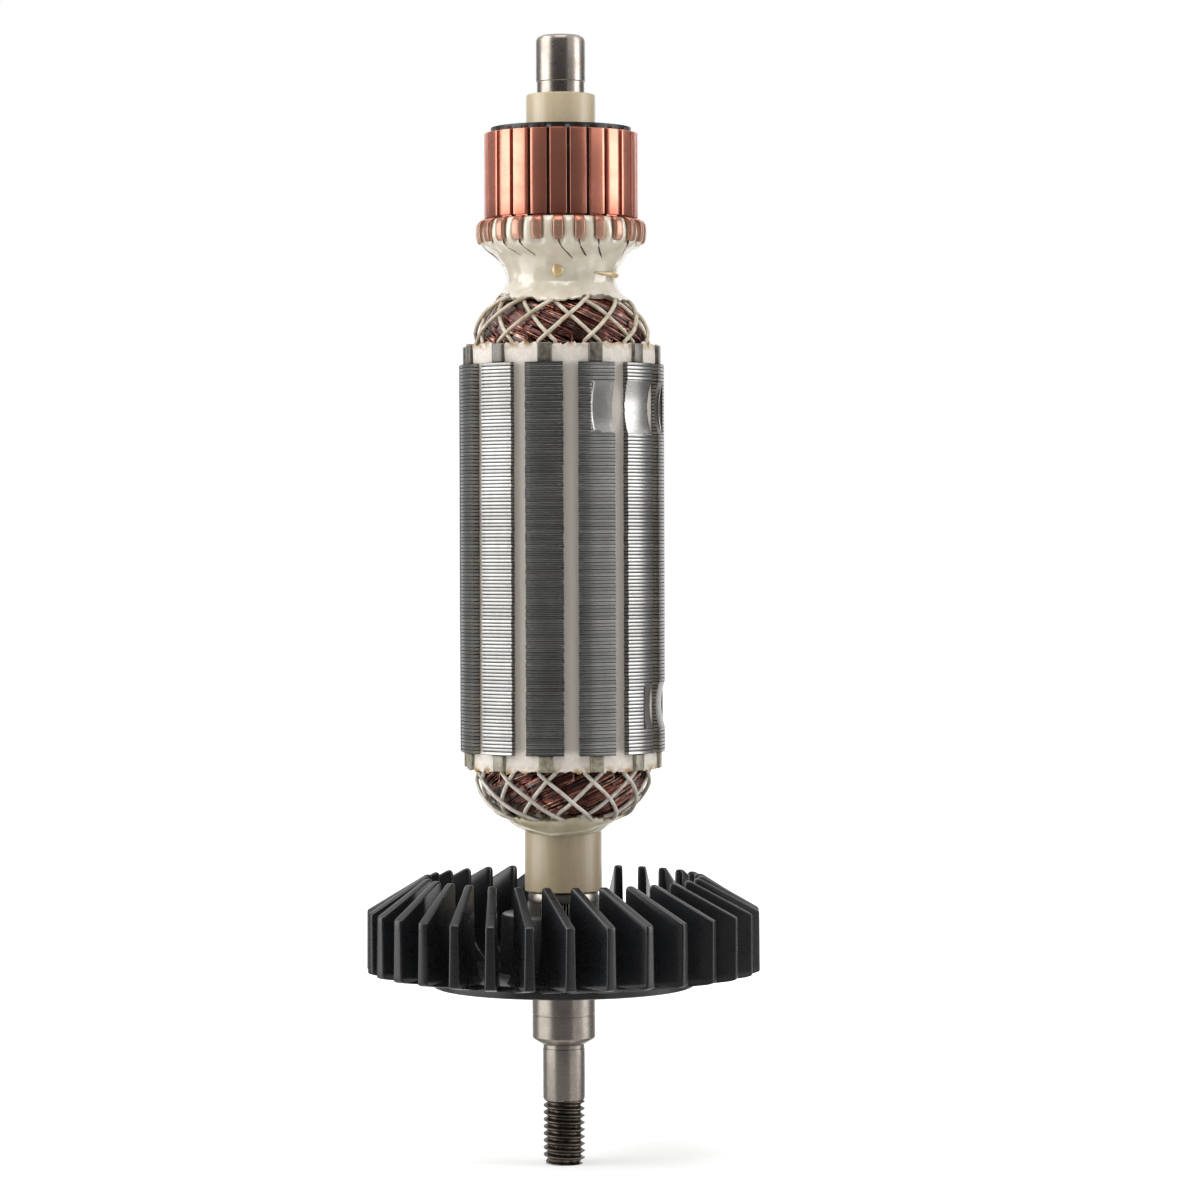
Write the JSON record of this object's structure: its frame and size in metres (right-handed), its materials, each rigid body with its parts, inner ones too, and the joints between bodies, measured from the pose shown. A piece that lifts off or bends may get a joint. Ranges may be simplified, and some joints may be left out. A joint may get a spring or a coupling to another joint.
{
  "type": "motor armature",
  "caption": "Wound motor armature: shaft with a slotted laminated core, copper coils laced at both ends, a hooked commutator and a bladed cooling fan.",
  "frame": {"origin": "on the shaft's axis at the underside of the fan, where the drive end bearing butts", "axes": "+Z along the shaft towards the commutator, -Y the side shown in the picture"},
  "size_m": [0.0563, 0.0563, 0.1608],
  "materials": {
    "shaft_steel": "turned and ground",
    "sleeve_moulding": "matte",
    "core_steel": "turned sheet edges",
    "lower_plate_fibre": "satin",
    "upper_plate_fibre": "satin",
    "liner_paper": "matte",
    "coil_wire": "gloss enamel on copper",
    "lacing_cord": "matte",
    "cap_resin": "gloss",
    "neck_resin": "gloss",
    "lead_wire": "gloss enamel on copper",
    "hub_phenolic": "satin",
    "bar_copper": "turned",
    "fan_nylon": "satin"
  },
  "bodies": {
    "root": {"shaft": "shaft_steel", "insulating_sleeve": "sleeve_moulding", "core": "core_steel", "lower_end_plate": "lower_plate_fibre", "upper_end_plate": "upper_plate_fibre", "slot_liner_01": "liner_paper", "slot_liner_02": "liner_paper", "slot_liner_03": "liner_paper", "slot_liner_04": "liner_paper", "slot_liner_05": "liner_paper", "slot_liner_06": "liner_paper", "slot_liner_07": "liner_paper", "slot_liner_08": "liner_paper", "slot_liner_09": "liner_paper", "slot_liner_10": "liner_paper", "slot_liner_11": "liner_paper", "slot_liner_12": "liner_paper", "coil_01": "coil_wire", "coil_02": "coil_wire", "coil_03": "coil_wire", "coil_04": "coil_wire", "coil_05": "coil_wire", "coil_06": "coil_wire", "coil_07": "coil_wire", "coil_08": "coil_wire", "coil_09": "coil_wire", "coil_10": "coil_wire", "coil_11": "coil_wire", "coil_12": "coil_wire", "lower_lacing": "lacing_cord", "upper_lacing": "lacing_cord", "lower_resin_cap": "cap_resin", "neck_resin": "neck_resin", "lead_wires": "lead_wire", "commutator_hub": "hub_phenolic", "commutator_bar_01": "bar_copper", "commutator_bar_02": "bar_copper", "commutator_bar_03": "bar_copper", "commutator_bar_04": "bar_copper", "commutator_bar_05": "bar_copper", "commutator_bar_06": "bar_copper", "commutator_bar_07": "bar_copper", "commutator_bar_08": "bar_copper", "commutator_bar_09": "bar_copper", "commutator_bar_10": "bar_copper", "commutator_bar_11": "bar_copper", "commutator_bar_12": "bar_copper", "commutator_bar_13": "bar_copper", "commutator_bar_14": "bar_copper", "commutator_bar_15": "bar_copper", "commutator_bar_16": "bar_copper", "commutator_bar_17": "bar_copper", "commutator_bar_18": "bar_copper", "commutator_bar_19": "bar_copper", "commutator_bar_20": "bar_copper", "commutator_bar_21": "bar_copper", "commutator_bar_22": "bar_copper", "commutator_bar_23": "bar_copper", "commutator_bar_24": "bar_copper", "fan": "fan_nylon"}
  },
  "joints": []
}
